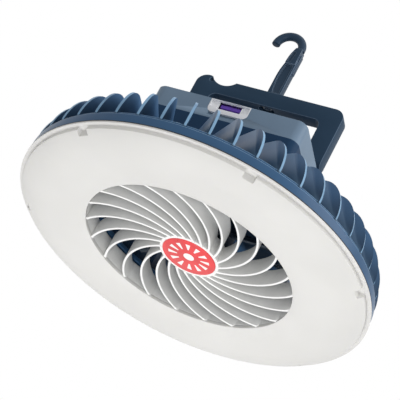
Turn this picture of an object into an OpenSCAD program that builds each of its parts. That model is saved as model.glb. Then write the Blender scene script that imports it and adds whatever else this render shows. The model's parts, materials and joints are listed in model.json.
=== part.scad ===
// Portable camping fan with a ring lamp, a battery box, a folding bracket and a swivel hook.
// +Z points to the back (battery box and hook); the lamp's crest stands on z = 0, on the axis.

/* [Lamp] */
// Diameter of the lamp lens at its rim
lamp_d = 200; // [190:1:210]
// Height of the lens from its crest to the rim seal
lens_h = 9; // [8.5:0.1:10]
// Wall of the lens
lens_t = 2; // [1.6:0.1:2.2]
// Height of the lens's rim, from the ridge round its face to the rim seal
rim_h = 3.1; // [2.8:0.1:3.6]
// Reach of the rim's flange past the ridge
rim_step = 2.4; // [2:0.1:3]
// Thickness of the rim's flange
rim_flange = 0.9; // [0.7:0.1:1.2]
// Inner diameter of the flat crest
crest_in_d = 144; // [140:1:148]
// Outer diameter of the flat crest
crest_out_d = 156; // [152:1:160]
// Diameter of the air opening in the lens
opening_d = 118; // [114:1:119]
// Height of the opening's lip above the crest
lip_h = 1.7; // [1.2:0.1:2.2]
// Thickness of the rim seal
seal_t = 0.6; // [0.4:0.1:1]
// Azimuth of the lens clip that the other five are set evenly to both sides of
clip_axis_a = -61; // [-64:0.5:-58]
// Angle from that clip to its neighbours
clip_near_a = 57.5; // [55:0.5:60]
// Angle from that clip to the far pair
clip_far_a = 118; // [115:0.5:121]
// Width of a lens clip and of the dent in the rim below it
clip_w = 6.5; // [5:0.5:8]
// Number of light chips in each ring
chip_count = 36; // [24:1:40]
// Radius of the inner ring of light chips
chip_in_r = 72; // [71:0.5:74]
// Radius of the outer ring of light chips
chip_out_r = 83; // [80:0.5:84]

/* [Grille] */
// Number of spiral ribs
rib_count = 22; // [18:1:26]
// Thickness of a rib
rib_t = 1.3; // [1:0.1:1.8]
// Depth of a rib along the axis
rib_depth = 10; // [8:0.5:10.5]
// Angle that a rib sweeps from the hub to the duct
rib_sweep = 53; // [50:1:56]
// Angle that a rib has swept halfway out
rib_mid_sweep = 30; // [28.5:0.5:32]
// Outer radius of the grille's hub
hub_r = 16.9; // [16:0.1:18]
// Wall of the grille's hub
hub_wall = 1.8; // [1.4:0.1:2.2]
// Wall of the duct round the ribs
duct_t = 2; // [1.6:0.1:2.4]
// Thickness of the coloured badge on the hub
badge_t = 1.2; // [0.8:0.1:1.4]

/* [Housing] */
// How far the housing ring stands inside the lens's rim
ring_inset = 0.5; // [0.3:0.1:1]
// Height of the housing ring
ring_h = 5.4; // [5.2:0.1:7]
// Wall of the housing ring
ring_t = 3; // [2.6:0.1:3.4]
// Number of cooling fins
fin_count = 47; // [40:1:52]
// Thickness of a fin
fin_t = 1.4; // [1.2:0.1:1.8]
// Angle of a fin away from the radial line
fin_sweep = 19.6; // [15:0.2:22]
// Height of a fin's shoulder above the ring
fin_rise = 23.5; // [20:0.1:23.8]
// Depth of a fin's rounded shoulder
fin_round = 16; // [12:0.5:20]
// How far the crown plate reaches past the box's corners
crown_over = 1.2; // [0.5:0.1:3]
// Thickness of the crown plate
crown_t = 3; // [2.6:0.1:4]
// Height of the crown plate's back above the ring
crown_rise = 24; // [23.5:0.1:26]
// Thickness of the lamp tray
tray_t = 2; // [1.6:0.1:2.4]

/* [Fan] */
// Number of impeller blades
blade_count = 7; // [5:1:9]
// Outer radius of the impeller
impeller_r = 54; // [50:0.5:56]
// Height of a blade along the axis
blade_h = 13; // [10:0.5:14]
// Thickness of a blade
blade_t = 1.6; // [1.2:0.1:2]
// Radius of the arc that a blade's section follows
blade_arc_r = 26; // [24:1:34]
// Outer radius of the impeller's hub
impeller_hub_r = 17.5; // [17:0.1:18.5]
// Diameter of the motor shaft
shaft_d = 3; // [2.5:0.1:3.5]
// Outer diameter of a shaft bearing
bearing_d = 8; // [7.5:0.1:8.4]
// Height of a shaft bearing
bearing_h = 3; // [2.5:0.1:3.2]
// Outer diameter of the stator
stator_d = 23; // [21:0.5:23.4]
// Number of stator teeth
tooth_count = 6; // [6:3:9]

/* [Box] */
// Room inside the square box beside the battery cells
side_room = 3; // [3:0.1:4]
// Room inside the square box at the ends of the battery cells
end_room = 8.1; // [8.1:0.1:9]
// Radius of the box's upright corners
box_r = 5.5; // [4:0.1:6]
// Wall of the box
box_wall = 2.4; // [2:0.1:2.6]
// Height of the lower shell
base_h = 22.3; // [22:0.1:25]
// Height of the cover
cover_h = 12.7; // [12.4:0.1:15]
// Thickness of the cover's back
cover_top_t = 2; // [1.6:0.1:2.2]
// Diameter of a battery cell
cell_d = 18.5; // [18:0.1:18.6]
// Length of a battery cell
cell_l = 65; // [62:0.5:65]
// Thickness of the main board
board_t = 1.6; // [1:0.1:1.8]
// Width of the main board
board_w = 50; // [48:1:54]
// Width of the port trim
trim_w = 22.8; // [21:0.2:24]
// Height of the port trim
trim_h = 8.2; // [7.8:0.1:8.3]
// Diameter of a push button
button_d = 12; // [10:0.5:13]
// How far a push button stands out
button_proud = 1.2; // [1:0.1:1.5]
// Travel of a push button
button_travel = 1; // [0.6:0.1:1.1]
// Distance of a push button from the middle, sideways
button_x = 16; // [13:0.5:16]

/* [Bracket] */
// How far the folding bracket reaches past the box on each side
bracket_over = 0.5; // [0:0.1:1]
// Thickness of the bracket
bracket_t = 8.2; // [8:0.1:9]
// Height of the bracket above its hinge axis
bracket_h = 34.6; // [33:0.1:37]
// Height of the bracket's top bar
bar_h = 9.6; // [9:0.1:12]
// Width of a bracket side bar
side_w = 11.1; // [10:0.1:12]
// Radius of the bracket's outer corner
bracket_r = 6; // [4:0.1:7]
// Gap between the folded bracket and the box
hinge_gap = 0.5; // [0.4:0.05:0.8]
// Diameter of a hinge pin
hinge_pin_d = 3; // [2.5:0.1:3.4]
// Length of a hinge pin
hinge_pin_l = 22; // [20:0.5:24]
// Width of a hinge lug
lug_w = 8; // [7:0.1:9]
// Distance of a hinge lug from the middle
lug_x = 23; // [22:0.5:26]

/* [Hook] */
// Width of the hook arm at its foot
arm_w = 7.4; // [6.8:0.1:8]
// Thickness of the hook arm
arm_t = 5; // [4.6:0.1:5.4]
// Length of the hook arm
arm_l = 33.2; // [33:0.1:36]
// Thickness of the hook's wire-like tip
tip_d = 4.7; // [4.2:0.1:5]
// Radius of the hook's bend along its middle
bend_r = 7.5; // [7:0.1:9]
// Diameter of the swivel post
post_d = 4.4; // [4:0.1:4.6]

/* [Hidden] */
$fn = 96;
eps = 0.01;      // overlap that makes a cut pass right through
run_gap = 0.05;  // radial clearance of a turning or sliding fit
seat_gap = 0.2;  // clearance of a fixed piece in its seat

// The box is as wide as its cells need
cell_count = 4;
cell_gap = 0.3;
cell_pitch = cell_d + cell_gap;
box_w = max(cell_count * cell_pitch + 2 * side_room, cell_l + 2 * end_room) + 2 * box_wall;

// Lamp: heights are measured from the crest upwards
lamp_r = lamp_d / 2;
opening_r = opening_d / 2;
seal_z = lens_h;
ring_z = seal_z + seal_t;
ring_top = ring_z + ring_h;
ring_r = lamp_r - ring_inset;
ring_in_r = ring_r - ring_t;
flange_t = 2.5;                        // flange that ties the fins to the ring
flange_z = ring_top - 0.5;             // underside of the flange, where the tray seats
tray_z = flange_z - tray_t;
tray_r = ring_in_r - seat_gap;
board_led_t = 1.6;
led_z = tray_z - board_led_t;
chip_h = 0.8;
chip_w = 3.5;
duct_r = opening_r + duct_t;
duct_z = lip_h + lens_t;               // front edge of the duct, on the lens's lip
duct_end = tray_z + 1;                 // rear edge of the duct
grille_flange_r = duct_r + 4.6;
grille_flange_t = 1.5;
led_in_r = grille_flange_r + 1;
led_out_r = ring_in_r - 8;
grille_screw_r = duct_r + 2.4;
tray_screw_r = ring_in_r - 4.5;
tray_screw_count = 6;
tray_screw_first = 32;                 // azimuth of the first tray screw
dent_wall = 1.4;                       // wall of the lens behind and beside a dent
dent_roof = rim_flange + 0.15;         // wall of the lens above a dent
clip_t = 1.4;
clip_gap = 0.4;
clip_r = ring_in_r - clip_gap;         // outer face of a clip's tongue
dent_r = lamp_r - rim_step - 3;        // wall of a dent, from the axis
clip_end = tray_z - clip_gap;          // tip of a clip's tongue, under the tray
nose_z = clip_end - 1.35;
nose_h = 1.1;
nose_reach = 0.6;                      // depth that a clip's nose stands in the ring's groove

// Grille
hub_z = lip_h + 0.9;                   // front face of the grille's hub
rib_z = lip_h + 0.6;                   // front edge of the ribs
badge_r = hub_r - hub_wall;
rib_first = 11.6;                      // azimuth of the first rib at the hub

// Housing
crown_top = ring_top + crown_rise;
crown_z = crown_top - crown_t;
crown_r = box_w / sqrt(2) + crown_over;
fin_end_r = crown_r - 2.9;             // radius where a fin ends under the crown
fin_len = ring_r * cos(fin_sweep) - sqrt(pow(fin_end_r, 2) - pow(ring_r * sin(fin_sweep), 2));
fin_foot = 0.3;                        // depth that the fins' feet sink into the ring
fin_first = -77;                       // azimuth of the first fin's outer end
flange_w = 8;
boss_r = 3.2;
boss_h = 3;
wire_y = 37.5;                         // distance of the wire hole from the axis
wire_r = 2.6;

// Fan, from the crown downwards
motor_plate_t = 2.5;
motor_plate_r = 19;
motor_z = crown_z - motor_plate_t;
motor_board_t = 1.2;
motor_board_z = motor_z - 1 - motor_board_t;
impeller_z = duct_end + 1.5;           // front face of the impeller's hub
impeller_wall = 1.5;
cup_z = impeller_z + impeller_wall;
cup_wall = 1;
cup_end = motor_board_z - 1;           // open rim of the rotor cup
cup_r = impeller_hub_r - impeller_wall;
magnet_t = 2.2;
magnet_z = cup_z + cup_wall + 1;
magnet_h = cup_end - 1.5 - magnet_z;
tube_r = bearing_d / 2 + 1.2;          // motor tube that holds the bearings
tube_z = cup_z + cup_wall + 0.6;
stator_z = magnet_z + 0.8;
stator_h = magnet_h - 1.6;
shaft_r = shaft_d / 2;
shaft_end = motor_z + 1.2;
clip_groove_z = shaft_end - 0.9;
rear_bearing_z = clip_groove_z - 0.3 - bearing_h;
motor_screw_r = motor_plate_r - 2.6;
blade_z = impeller_z + 0.2;

// Box
box_z = crown_top;
base_top = box_z + base_h;
box_top = base_top + cover_h;
box_in = box_w / 2 - box_wall;
floor_z = box_z + box_wall;
post_x = box_in - 8.6;
post_y = box_in - 3.2;
post_r = 3.3;
post_bite = 9;                         // length of a screw in a post
screw_r = 1.5;
cell_fit = 0.1;
holder_floor = 1.2;
cell_z = floor_z + holder_floor + cell_fit + cell_d / 2;
holder_w = cell_count * cell_pitch + 1.6;
holder_l = cell_l + 3;
holder_h = 6.6;
cover_under = box_top - cover_top_t;
usb_a_w = 13.2;
usb_a_h = 5.3;
usb_a_l = 14;
usb_a_wall = 0.4;
trim_top = box_top - 0.5;
trim_z = trim_top - trim_h;
trim_t = 1.9;
usb_a_z = trim_top - 0.2 - usb_a_h;    // underside of the larger socket, on the board
board_top = usb_a_z;
board_z = board_top - board_t;
board_l = 2 * (box_in - 0.3);
standoff_x = board_w / 2 - 4;
standoff_y = 29;
usb_a_y = -box_w / 2 + trim_t - 0.6;   // mouth of the larger socket
usb_c_w = 9;
usb_c_h = 3.2;
usb_c_l = 7.3;
usb_c_y = box_w / 2 - 0.6;             // mouth of the smaller socket
button_flange = 1;                     // width of the flange that keeps a button in
stem_r = 1.4;
stem_reach = 0.4;                      // how far a button's stem stands in its switch at rest
switch_h = button_travel + 1;
switch_w = 6;
button_under = board_top + switch_h + button_travel + 0.2;  // underside of a button's flange
window_w = 16;
window_l = 3.2;
window_y = 24;

// Bracket and hook
bracket_w = box_w + 2 * bracket_over;
hinge_z = box_top + hinge_gap + bracket_t / 2;
bracket_top = hinge_z + bracket_h;
bar_z = bracket_top - bar_h;
cut_h = 5;                             // reach of the cut round a lug, from the hinge axis
lower_bar = cut_h + 3;                 // height of the lower bar above the hinge axis
lug_gap = 0.5;                         // room beside a lug, which a washer fills
button_y = -(lower_bar + bracket_h - bar_h) / 2;  // amid the folded bracket's window
lobe_h = 1.1;
notch_r = 8.5;
notch_x = -bracket_w / 2 + notch_r + 6.8;
notch_depth = 3.5;
pocket_w = 9.2;
pocket_h = 3.1;
arm_z = bracket_top + seat_gap;
arm_top = arm_z + arm_l;
tip_x = 1.5;                           // the bend springs from the stem at this place
sleeve_h = 11;
post_r_out = post_d / 2;

// Colours
blue = "#2e4d70";
navy = "#2b3c4f";
slate = "#5f7080";
white = "#e9e9e7";
steel = "#b9bcc0";

// ---------- helpers ----------
module ring(r_out, r_in, h) {
  difference() {
    cylinder(r = r_out, h = h);
    translate([0, 0, -eps]) cylinder(r = r_in, h = h + 2 * eps);
  }
}

// Square with round corners, centred, standing on z = 0
module rounded_block(w, l, h, r) {
  linear_extrude(h) rounded_square(w, l, r);
}

module rounded_square(w, l, r) {
  square([w - 2 * r, l], center = true);
  square([w, l - 2 * r], center = true);
  for (x = [-1, 1], y = [-1, 1]) translate([x * (w / 2 - r), y * (l / 2 - r)]) circle(r);
}

// Slot with round ends, along x
module slot(l, w) {
  square([l - w, w], center = true);
  for (x = [-1, 1]) translate([x * (l - w) / 2, 0]) circle(d = w);
}

// Pan-head screw: the head's underside at z = 0, the shank upwards
module screw(r, l, head_r, head_h) {
  cylinder(r = r, h = l, $fn = 24);
  translate([0, 0, -head_h]) difference() {
    cylinder(r = head_r, h = head_h, $fn = 32);
    for (a = [0, 90]) rotate(a) translate([-head_r * 0.6, -head_r * 0.12, -eps])
      cube([head_r * 1.2, head_r * 0.24, head_h * 0.5]);
  }
}

module around(count, r, first = 0) {
  for (i = [0 : count - 1]) rotate(first + i * 360 / count) translate([r, 0, 0]) children();
}

module corners(x, y) {
  for (i = [-1, 1], j = [-1, 1]) translate([i * x, j * y, 0]) children();
}

// Centre of the circle through three points
function circle_centre(a, b, c) =
  let (
    d = 2 * (a.x * (b.y - c.y) + b.x * (c.y - a.y) + c.x * (a.y - b.y)),
    x = (a * a) * (b.y - c.y) + (b * b) * (c.y - a.y) + (c * c) * (a.y - b.y),
    y = (a * a) * (c.x - b.x) + (b * b) * (a.x - c.x) + (c * c) * (b.x - a.x)
  ) [x / d, y / d];

function polar(r, a) = [r * cos(a), r * sin(a)];

// ---------- lamp ----------
// Half section of the lens, moved inwards by the wall for its hollow
module lens_section(inset) {
  crest_in = crest_in_d / 2;
  crest_out = crest_out_d / 2;
  shoulder = lamp_r - rim_step;
  drop = lens_h - rim_h;
  out_r = (pow(shoulder - crest_out, 2) + pow(drop, 2)) / (2 * drop);
  in_r = (pow(crest_in - opening_r, 2) + pow(lip_h, 2)) / (2 * lip_h);
  translate([crest_in, inset]) square([crest_out - crest_in, lens_h]);
  intersection() {
    translate([crest_out, out_r]) circle(out_r - inset, $fn = 256);
    translate([crest_out - eps, 0]) square([shoulder - crest_out - inset, lens_h + inset]);
  }
  intersection() {
    translate([crest_in, in_r]) circle(in_r - inset, $fn = 512);
    translate([opening_r + inset, 0]) square([crest_in - opening_r - inset + eps, lens_h + inset]);
  }
}

module lamp_lens() {
  color(white, 0.9) {
    difference() {
      rotate_extrude($fn = 180) {
        intersection() {
          lens_section(0);
          square([lamp_r, lens_h]);
        }
        translate([lamp_r - rim_step - eps, lens_h - rim_flange]) square([rim_step + eps, rim_flange]);
      }
      // hollow, except where a dent has its wall
      difference() {
        rotate_extrude($fn = 180) {
          lens_section(lens_t);
          // the lip ends on the duct's front edge
          translate([opening_r - eps, duct_z]) square([2 * lens_t, lens_h]);
        }
        at_clips(dent_r - dent_wall)
          translate([0, -clip_w / 2 - dent_wall, -1]) cube([10, clip_w + 2 * dent_wall, 3 * lens_h]);
      }
      at_clips(dent_r) translate([0, -clip_w / 2, -1]) cube([10, clip_w, lens_h - dent_roof + 1]);
    }
    at_clips(clip_r - clip_t) lens_clip();
  }
}

// Copies at the six clips' places
module at_clips(r) {
  for (a = [0, -clip_near_a, clip_near_a, -clip_far_a, clip_far_a, 180])
    rotate(clip_axis_a + a) translate([r, 0, 0]) children();
}

// Tongue on the lens, with a nose that snaps into the groove inside the ring
module lens_clip() {
  foot = lens_h - dent_roof + 0.2;
  translate([0, -clip_w / 2, foot]) cube([clip_t, clip_w, clip_end - foot]);
  translate([clip_t - 0.2, -clip_w / 2 + 0.3, nose_z])
    cube([clip_gap + nose_reach + 0.2, clip_w - 0.6, nose_h]);
}

module rim_seal() {
  color("#14181c") translate([0, 0, seal_z]) ring(lamp_r - 0.1, lamp_r - lens_t, seal_t);
}

module led_board() {
  color("#f2f2ee") translate([0, 0, led_z]) ring(led_out_r, led_in_r, board_led_t);
}

module led_chips() {
  color("#f4e27a") for (r = [chip_in_r, chip_out_r])
    around(chip_count, r, r == chip_in_r ? 0 : 180 / chip_count)
      translate([-chip_w / 2, -chip_w / 2, led_z - chip_h]) cube([chip_w, chip_w, chip_h]);
}

module lamp_tray() {
  color(navy) translate([0, 0, tray_z]) difference() {
    ring(tray_r, duct_r + seat_gap, tray_t);
    around(tray_screw_count, tray_screw_r, tray_screw_first)
      translate([0, 0, -eps]) cylinder(r = screw_r + run_gap, h = tray_t + 2 * eps, $fn = 24);
    around(4, grille_screw_r, 45)
      translate([0, 0, -eps]) cylinder(r = 1.1 + run_gap, h = tray_t + 2 * eps, $fn = 24);
  }
}

module tray_screws() {
  color(steel) around(tray_screw_count, tray_screw_r, tray_screw_first)
    translate([0, 0, tray_z]) screw(screw_r, tray_t + boss_h, 2.5, 1.4);
}

// ---------- grille ----------
rib_a = polar(hub_r - hub_wall / 2, 0);
rib_b = polar((hub_r + opening_r) / 2, -rib_mid_sweep);
rib_c = polar(opening_r + duct_t / 2, -rib_sweep);
rib_centre = circle_centre(rib_a, rib_b, rib_c);
rib_arc_r = norm(rib_a - rib_centre);

module rib_outline() {
  side = atan2(rib_centre.y, rib_centre.x);
  reach = 2 * lamp_r;
  intersection() {
    difference() {
      translate(rib_centre) circle(rib_arc_r + rib_t / 2, $fn = 180);
      translate(rib_centre) circle(rib_arc_r - rib_t / 2, $fn = 180);
    }
    difference() {
      circle(opening_r + duct_t / 2);
      circle(hub_r - hub_wall / 2);
    }
    // the half plane that holds the rib and not its mirror image
    rotate(side) translate([-reach, 0]) square([2 * reach, reach]);
  }
}

module front_grille() {
  color(white) {
    difference() {
      translate([0, 0, rib_z]) for (i = [0 : rib_count - 1])
        rotate(rib_first + i * 360 / rib_count) linear_extrude(rib_depth) rib_outline();
      // the ribs' ends clear the lens's lip
      translate([0, 0, rib_z - 1]) ring(duct_r + 1, opening_r - 0.3, duct_z + 0.2 - rib_z + 1);
    }
    translate([0, 0, duct_z]) ring(duct_r, opening_r, duct_end - duct_z);
    difference() {
      translate([0, 0, tray_z - grille_flange_t])
        ring(grille_flange_r, duct_r - duct_t / 4, grille_flange_t);
      around(4, grille_screw_r, 45) translate([0, 0, tray_z - grille_flange_t - eps])
        cylinder(r = 1.1 + run_gap, h = grille_flange_t + 2 * eps, $fn = 24);
    }
    translate([0, 0, hub_z]) difference() {
      cylinder(r = hub_r, h = rib_z + rib_depth + 0.5 - hub_z);
      translate([0, 0, -eps]) cylinder(r = badge_r, h = badge_t + eps);
      translate([0, 0, badge_t + 1.4]) cylinder(r = badge_r, h = rib_depth);
    }
  }
}

module hub_badge() {
  color("#d8262c") translate([0, 0, hub_z - 0.2]) cylinder(r = badge_r - run_gap, h = badge_t + 0.2);
}

module grille_screws() {
  color(steel) around(4, grille_screw_r, 45) translate([0, 0, tray_z - grille_flange_t])
    screw(1.1, grille_flange_t + tray_t - 0.2, 2, 1.2);
}

// ---------- housing ----------
// Outline of a fin: x runs inwards along the fin, y runs up from the ring's flange
module fin_outline() {
  steps = 10;
  rise = fin_rise + fin_foot;
  shoulder = [for (i = [0 : steps]) let (a = 90 * i / steps)
    [0.5 + fin_round * (1 - cos(a)), rise * sin(a)]];
  polygon(concat([[0.5, 0]], shoulder, [[fin_len, crown_rise + fin_foot - 0.4], [fin_len, 0]]));
}

module fin() {
  translate([ring_r, 0, ring_top - fin_foot]) rotate([0, 0, 180 + fin_sweep])
    rotate([90, 0, 0]) translate([0, 0, -fin_t / 2]) linear_extrude(fin_t) fin_outline();
}

module fin_housing() {
  color(blue) difference() {
    union() {
      around(fin_count, 0, fin_first) fin();
      translate([0, 0, ring_z]) ring(ring_r, ring_in_r, ring_h);
      translate([0, 0, flange_z]) ring(ring_r - 1.6, ring_in_r - flange_w, flange_t);
      translate([0, 0, flange_z]) ring(fin_end_r + 4, fin_end_r - 0.5, flange_t);
      translate([0, 0, crown_z]) cylinder(r = crown_r, h = crown_t);
      around(tray_screw_count, tray_screw_r, tray_screw_first)
        translate([0, 0, flange_z + 1]) cylinder(r = boss_r, h = boss_h + 0.5, $fn = 32);
    }
    around(tray_screw_count, tray_screw_r, tray_screw_first)
      translate([0, 0, flange_z - eps]) cylinder(r = screw_r + run_gap, h = boss_h + 0.3, $fn = 24);
    corners(post_x, post_y)
      translate([0, 0, crown_z - eps]) cylinder(r = screw_r + run_gap, h = crown_t + 1, $fn = 24);
    around(3, motor_screw_r, 90)
      translate([0, 0, crown_z - eps]) cylinder(r = 1.1 + run_gap, h = crown_t - 0.6, $fn = 24);
    // hole for the motor's and the lamp's wires
    translate([0, -wire_y, crown_z - 1]) cylinder(r = wire_r, h = crown_t + 2, $fn = 32);
    // groove that the lens's clips snap into
    translate([0, 0, nose_z - run_gap])
      ring(ring_in_r + nose_reach + 0.3, ring_in_r - 1, nose_h + 2 * run_gap);
  }
}

// ---------- fan ----------
// One cambered, pitched blade: a slice of a tube that lies along the blade
module blade() {
  half = 12;
  steps = 6;
  lead = [for (i = [0 : steps]) polar(impeller_hub_r - 1 + i * (impeller_r - impeller_hub_r + 1) / steps,
    -20 - 10 * i / steps)];
  trail = [for (i = [steps : -1 : 0]) polar(impeller_hub_r - 1 + i * (impeller_r - impeller_hub_r + 1) / steps,
    20 - 2 * i / steps)];
  intersection() {
    translate([0, 0, blade_z]) ring(impeller_r, impeller_hub_r - 1, blade_h);
    linear_extrude(blade_z + blade_h + 1) polygon(concat(lead, trail));
    translate([0, half, blade_z - blade_arc_r + blade_h - 0.8]) rotate([0, 90, 0]) difference() {
      cylinder(r = blade_arc_r, h = impeller_r + 2);
      translate([0, 0, -eps]) cylinder(r = blade_arc_r - blade_t, h = impeller_r + 3);
    }
  }
}

module impeller() {
  color("#22384f") {
    around(blade_count, 0) blade();
    translate([0, 0, impeller_z]) difference() {
      cylinder(r = impeller_hub_r, h = cup_end - impeller_z);
      translate([0, 0, impeller_wall]) cylinder(r = cup_r, h = cup_end - impeller_z);
      translate([0, 0, -eps]) cylinder(r = shaft_r, h = 10, $fn = 48);
    }
  }
}

module rotor_cup() {
  color(steel) translate([0, 0, cup_z]) difference() {
    cylinder(r = cup_r, h = cup_end - cup_z);
    translate([0, 0, cup_wall]) cylinder(r = cup_r - cup_wall, h = cup_end - cup_z);
    translate([0, 0, -eps]) cylinder(r = shaft_r, h = 10, $fn = 48);
  }
}

module rotor_magnet() {
  color("#3a3a3c") translate([0, 0, magnet_z])
    ring(cup_r - cup_wall, cup_r - cup_wall - magnet_t, magnet_h);
}

module motor_shaft() {
  color("silver") difference() {
    translate([0, 0, impeller_z]) cylinder(r = shaft_r, h = shaft_end - impeller_z, $fn = 48);
    translate([0, 0, clip_groove_z]) ring(shaft_r + 1, shaft_r - 0.4, 0.5);
  }
}

module bearing(z) {
  translate([0, 0, z]) ring(bearing_d / 2, shaft_r + run_gap, bearing_h, $fn = 64);
}

module front_bearing() {
  color(steel) bearing(tube_z);
}

module rear_bearing() {
  color(steel) bearing(rear_bearing_z);
}

module shaft_clip() {
  color("#2a2a2c") translate([0, 0, clip_groove_z]) difference() {
    ring(shaft_r + 1.1, shaft_r - 0.4, 0.5, $fn = 48);
    translate([0, -shaft_r * 0.6, -1]) cube([shaft_r + 3, shaft_r * 1.2, 2]);
  }
}

module stator_core() {
  pole_r = stator_d / 2;
  color("#8b8f94") translate([0, 0, stator_z]) difference() {
    union() {
      cylinder(r = tube_r + 1.8, h = stator_h);
      around(tooth_count, 0) translate([0, -0.9, 0]) cube([pole_r - 0.6, 1.8, stator_h]);
      intersection() {
        ring(pole_r, pole_r - 1.3, stator_h);
        around(tooth_count, 0) translate([0, -3.6, 0]) cube([pole_r + 1, 7.2, stator_h]);
      }
    }
    translate([0, 0, -eps]) cylinder(r = tube_r, h = stator_h + 1);
  }
}

module stator_coils() {
  coil_in = tube_r + 2.1;
  coil_l = stator_d / 2 - 1.6 - coil_in;
  color("#b5652d") around(tooth_count, coil_in) translate([0, 0, stator_z + stator_h / 2])
    difference() {
      translate([0, -2.1, -stator_h / 2 - 0.7]) cube([coil_l, 4.2, stator_h + 1.4]);
      translate([-eps, -0.9, -stator_h / 2]) cube([coil_l + 1, 1.8, stator_h]);
    }
}

module motor_board() {
  color("#2f6b3c") translate([0, 0, motor_board_z]) ring(cup_r - 3, tube_r + seat_gap, motor_board_t);
}

module motor_base() {
  color("#30343a") difference() {
    union() {
      translate([0, 0, motor_z]) cylinder(r = motor_plate_r, h = motor_plate_t);
      translate([0, 0, motor_z - 1]) cylinder(r = tube_r + 2.5, h = 1 + eps);
      translate([0, 0, tube_z]) cylinder(r = tube_r, h = motor_z - tube_z + eps);
    }
    translate([0, 0, tube_z - eps]) cylinder(r = bearing_d / 2, h = bearing_h + eps, $fn = 64);
    translate([0, 0, tube_z + bearing_h - eps]) cylinder(r = bearing_d / 2 - 0.8, h = rear_bearing_z
      - tube_z - bearing_h + 2 * eps);
    translate([0, 0, rear_bearing_z]) cylinder(r = bearing_d / 2, h = crown_z - rear_bearing_z + 1, $fn = 64);
    around(3, motor_screw_r, 90)
      translate([0, 0, motor_z - eps]) cylinder(r = 1.1 + run_gap, h = 10, $fn = 24);
  }
}

module motor_screws() {
  color(steel) around(3, motor_screw_r, 90) translate([0, 0, motor_z])
    screw(1.1, motor_plate_t + crown_t - 0.8, 2, 1.2);
}

// ---------- box ----------
module box_base() {
  color(navy) difference() {
    union() {
      translate([0, 0, box_z]) difference() {
        rounded_block(box_w, box_w, base_h, box_r);
        translate([0, 0, box_wall]) rounded_block(2 * box_in, 2 * box_in, base_h, box_r - box_wall);
      }
      corners(post_x, post_y) translate([0, 0, floor_z - eps])
        cylinder(r = post_r, h = base_top - floor_z + eps, $fn = 32);
    }
    corners(post_x, post_y) {
      translate([0, 0, box_z - eps]) cylinder(r = screw_r + run_gap, h = post_bite + 0.3, $fn = 24);
      translate([0, 0, base_top - post_bite]) cylinder(r = screw_r + run_gap, h = post_bite + 1, $fn = 24);
    }
    translate([0, -wire_y, box_z - 1]) cylinder(r = wire_r, h = box_wall + 2, $fn = 32);
  }
}

module base_screws() {
  color(steel) corners(post_x, post_y) translate([0, 0, crown_z]) screw(screw_r, crown_t + post_bite, 2.8, 1.8);
}

module box_cover() {
  color(slate) difference() {
    union() {
      translate([0, 0, base_top]) difference() {
        cover_block();
        translate([0, 0, -eps])
          rounded_block(2 * box_in, 2 * box_in, cover_h - cover_top_t + eps, box_r - box_wall);
      }
      corners(post_x, post_y) translate([0, 0, base_top])
        cylinder(r = post_r, h = cover_under - base_top + eps, $fn = 32);
      corners(standoff_x, standoff_y) translate([0, 0, board_top])
        cylinder(r = 2.4, h = cover_under - board_top + eps, $fn = 32);
      for (s = [-1, 1]) translate([s * lug_x - lug_w / 2, 0, 0]) hinge_lug();
    }
    corners(post_x, post_y) {
      translate([0, 0, base_top - eps]) cylinder(r = screw_r + run_gap, h = cover_h + 1, $fn = 24);
      translate([0, 0, box_top - 2.2]) cylinder(r = 3, h = 5, $fn = 32);
    }
    corners(standoff_x, standoff_y) translate([0, 0, board_top - eps])
      cylinder(r = 1 + run_gap, h = cover_under - board_top - 0.4, $fn = 24);
    for (s = [-1, 1]) translate([s * lug_x, 0, hinge_z]) rotate([0, 90, 0])
      cylinder(r = hinge_pin_d / 2, h = lug_w + 2, center = true, $fn = 48);
    port_cuts();
    for (s = [-1, 1]) translate([s * button_x, button_y, cover_under - 1])
      cylinder(d = button_d + 2 * run_gap + 0.3, h = 5);
    translate([0, window_y, cover_under - 1]) linear_extrude(5) slot(window_w + 0.1, window_l + 0.1);
  }
}

// Body of the cover, its back edge eased by a small step
module cover_block() {
  ease = 0.6;
  rounded_block(box_w, box_w, cover_h - ease, box_r);
  translate([0, 0, cover_h - ease - eps]) rounded_block(box_w - 2 * ease, box_w - 2 * ease, ease + eps,
    box_r - ease);
}

module port_cuts() {
  face = -box_w / 2;
  // seat of the port trim
  translate([0, face + trim_t, trim_z]) rotate([90, 0, 0]) linear_extrude(trim_t + 1) trim_outline(0.05);
  // hole for the larger socket, which reaches under the cover's back
  translate([-usb_a_w / 2 - 0.15, face, usb_a_z]) cube([usb_a_w + 0.3, usb_a_l + 2.4, usb_a_h + 0.15]);
  // scoop below the trim
  translate([-trim_w / 2 + 1.5, face, trim_z]) rotate([90, 0, 90])
    linear_extrude(trim_w - 3) polygon([[-1, 1], [1.4, 1], [1.4, 0], [0, -3], [-1, -3]]);
  // hole for the smaller socket
  translate([0, -face + 1, usb_a_z + usb_c_h / 2]) rotate([90, 0, 0])
    linear_extrude(box_wall + 2) slot(usb_c_w + 0.4, usb_c_h + 0.4);
}

module hinge_lug() {
  translate([0, 0, hinge_z]) rotate([0, 90, 0]) cylinder(d = bracket_t - 0.2, h = lug_w, $fn = 64);
  translate([0, -bracket_t / 2 + 0.1, box_top - 0.5]) cube([lug_w, bracket_t - 0.2, hinge_z - box_top + 0.5]);
}

module cover_screws() {
  color(steel) corners(post_x, post_y) translate([0, 0, box_top - 2.2])
    mirror([0, 0, 1]) screw(screw_r, cover_h - 2.2 + post_bite - 0.4, 2.8, 1.8);
}

module battery_cell(i) {
  x = (i - 2.5) * cell_pitch;
  up = i % 2 == 0 ? 1 : -1;
  color("#2d7fb8") translate([x, 0, cell_z]) rotate([90 * up, 0, 0]) {
    translate([0, 0, -cell_l / 2]) cylinder(d = cell_d, h = cell_l - 1.2);
    translate([0, 0, cell_l / 2 - 1.2 - eps]) cylinder(d = 6, h = 1.2 + eps, $fn = 48);
  }
}

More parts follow.
